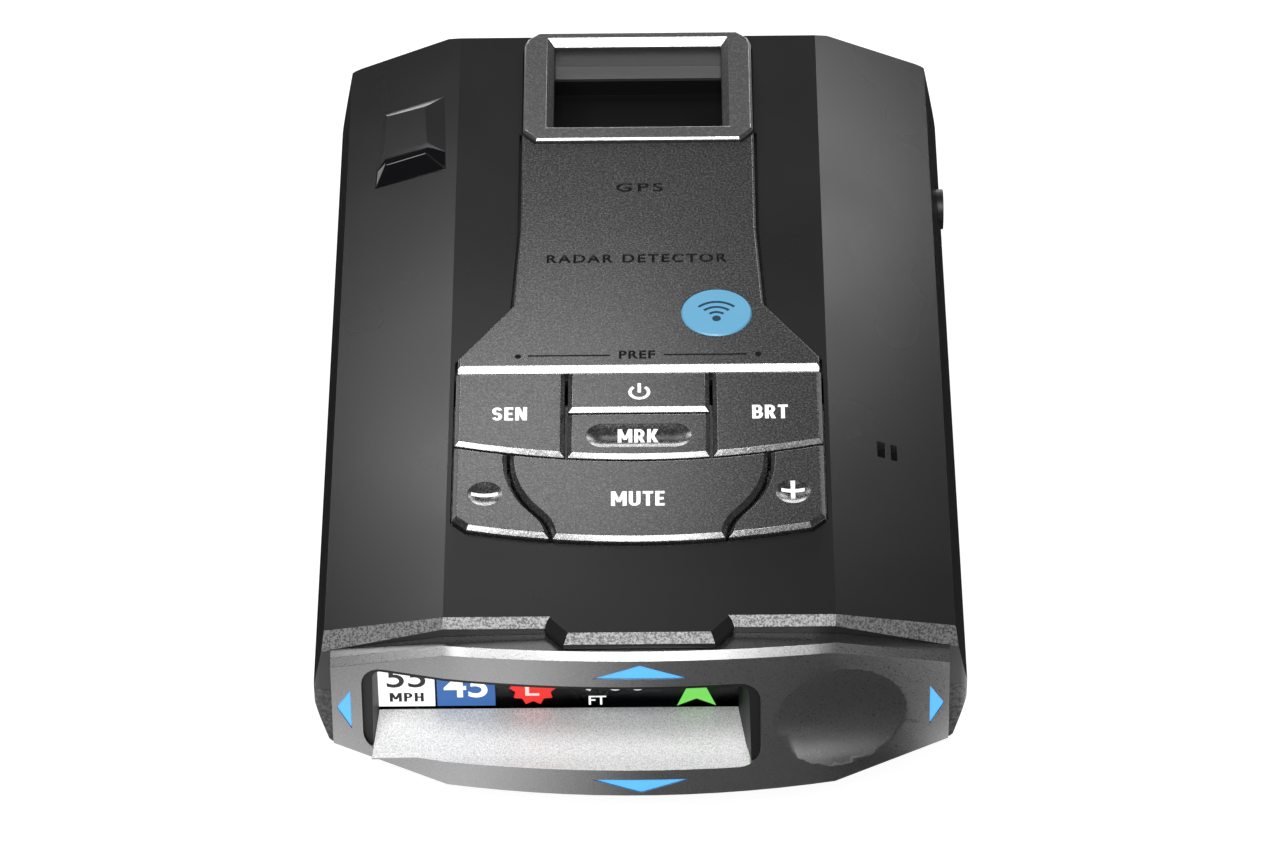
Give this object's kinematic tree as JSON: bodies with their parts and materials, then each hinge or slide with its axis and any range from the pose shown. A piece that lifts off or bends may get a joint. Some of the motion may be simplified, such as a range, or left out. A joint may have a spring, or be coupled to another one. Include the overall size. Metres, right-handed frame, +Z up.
{
  "type": "radar detector",
  "caption": "Slim windscreen radar detector with a recessed colour display in a bowed fascia, raised push-button keypad, mount socket and hooded laser lens.",
  "frame": {"origin": "under the middle of the casing, on the plane of its flat underside", "axes": "+X to the driver's right, +Y from the display fascia to the windscreen end, +Z up out of the keypad deck"},
  "size_m": [0.0904, 0.136, 0.0355],
  "materials": {
    "top_shell": "fine textured near-black plastic",
    "bottom_shell": "coarse textured near-black plastic",
    "front_bezel": "satin grey paint on a plastic fascia, silver on the recess floor",
    "control_panel": "fine gunmetal metallic paint",
    "badge_disc": "glossy light blue disc with a plain ring symbol",
    "mount_socket": "fine gunmetal metallic paint, bare black inside the pocket",
    "mount_magnets": "nickel-plated disc magnets",
    "keys": "fine gunmetal metallic paint with bright bevels and white legends",
    "dome_mat": "translucent grey silicone",
    "key_board": "green solder mask",
    "small_screws": "zinc-plated cross-head screws",
    "display_tunnel": "matte black liner",
    "display_window": "clear window over the lit display",
    "display_module": "black display frame",
    "display_board": "green solder mask",
    "display_ribbon": "amber flexible circuit",
    "arrows": "lit pale blue light guide",
    "arrow_leds": "white LED bodies",
    "rear_laser_lens": "polished black infrared-clear plastic",
    "sensor_boards": "blue solder mask with a clear photodiode",
    "front_laser_lens": "deep red infrared-clear plastic",
    "light_sensor_lens": "smoked light pipe",
    "main_board": "green solder mask with copper pads",
    "chips": "black moulded chip package",
    "shield_can": "tin-plated shield",
    "capacitors": "aluminium can with a black stripe",
    "wireless_module": "small board with a tin-plated can",
    "gps_antenna": "ceramic patch on a small board",
    "horns": "die-cast zinc horn",
    "speaker": "black steel basket and paper cone",
    "speaker_gasket": "black foam ring",
    "headphone_jack": "black nylon socket",
    "usb_port": "nickel-plated shell",
    "power_jack": "black nylon socket with gilt contacts",
    "rating_label": "plain silver foil label with no lettering"
  },
  "bodies": {
    "casing": {"top_shell": "top_shell", "bottom_shell": "bottom_shell", "front_bezel": "front_bezel", "control_panel": "control_panel", "badge_disc": "badge_disc", "mount_socket": "mount_socket", "mount_magnets": "mount_magnets", "dome_mat": "dome_mat", "key_board": "key_board", "key_board_screws": "small_screws", "display_tunnel": "display_tunnel", "display_window": "display_window", "display_module": "display_module", "display_board": "display_board", "display_ribbon": "display_ribbon", "arrow_up": "arrows", "arrow_down": "arrows", "arrow_left": "arrows", "arrow_right": "arrows", "arrow_leds": "arrow_leds", "rear_laser_lens": "rear_laser_lens", "rear_laser_sensor": "sensor_boards", "front_laser_lens": "front_laser_lens", "front_laser_sensor": "sensor_boards", "light_sensor_lens": "light_sensor_lens", "main_board": "main_board", "board_screws": "small_screws", "case_screws": "small_screws", "processor": "chips", "memory_chips": "chips", "shield_can": "shield_can", "capacitors": "capacitors", "inductors": "chips", "wireless_module": "wireless_module", "gps_antenna": "gps_antenna", "front_horn_antenna": "horns", "rear_horn_antenna": "horns", "speaker": "speaker", "speaker_gasket": "speaker_gasket", "headphone_jack": "headphone_jack", "usb_port": "usb_port", "power_jack": "power_jack", "rating_label": "rating_label"},
    "key_sensitivity_cap": {"key_sensitivity": "keys"},
    "key_power_cap": {"key_power": "keys"},
    "key_mark_cap": {"key_mark": "keys"},
    "key_brightness_cap": {"key_brightness": "keys"},
    "key_volume_down_cap": {"key_volume_down": "keys"},
    "key_mute_cap": {"key_mute": "keys"},
    "key_volume_up_cap": {"key_volume_up": "keys"}
  },
  "joints": [
    {"name": "sensitivity_press", "type": "slide", "parent": "casing", "child": "key_sensitivity_cap", "axis": [0, 0, -1], "range_m": [0, 0.0004], "stiffness_N_per_m": 1500, "springref_m": -0.0001, "deforming": ["dome_mat"]},
    {"name": "power_press", "type": "slide", "parent": "casing", "child": "key_power_cap", "axis": [0, 0, -1], "range_m": [0, 0.0004], "stiffness_N_per_m": 1500, "springref_m": -0.0001, "deforming": ["dome_mat"]},
    {"name": "mark_press", "type": "slide", "parent": "casing", "child": "key_mark_cap", "axis": [0, 0, -1], "range_m": [0, 0.0004], "stiffness_N_per_m": 1500, "springref_m": -0.0001, "deforming": ["dome_mat"]},
    {"name": "brightness_press", "type": "slide", "parent": "casing", "child": "key_brightness_cap", "axis": [0, 0, -1], "range_m": [0, 0.0004], "stiffness_N_per_m": 1500, "springref_m": -0.0001, "deforming": ["dome_mat"]},
    {"name": "volume_down_press", "type": "slide", "parent": "casing", "child": "key_volume_down_cap", "axis": [0, 0, -1], "range_m": [0, 0.0004], "stiffness_N_per_m": 1500, "springref_m": -0.0001, "deforming": ["dome_mat"]},
    {"name": "mute_press", "type": "slide", "parent": "casing", "child": "key_mute_cap", "axis": [0, 0, -1], "range_m": [0, 0.0004], "stiffness_N_per_m": 1500, "springref_m": -0.0001, "deforming": ["dome_mat"]},
    {"name": "volume_up_press", "type": "slide", "parent": "casing", "child": "key_volume_up_cap", "axis": [0, 0, -1], "range_m": [0, 0.0004], "stiffness_N_per_m": 1500, "springref_m": -0.0001, "deforming": ["dome_mat"]}
  ]
}
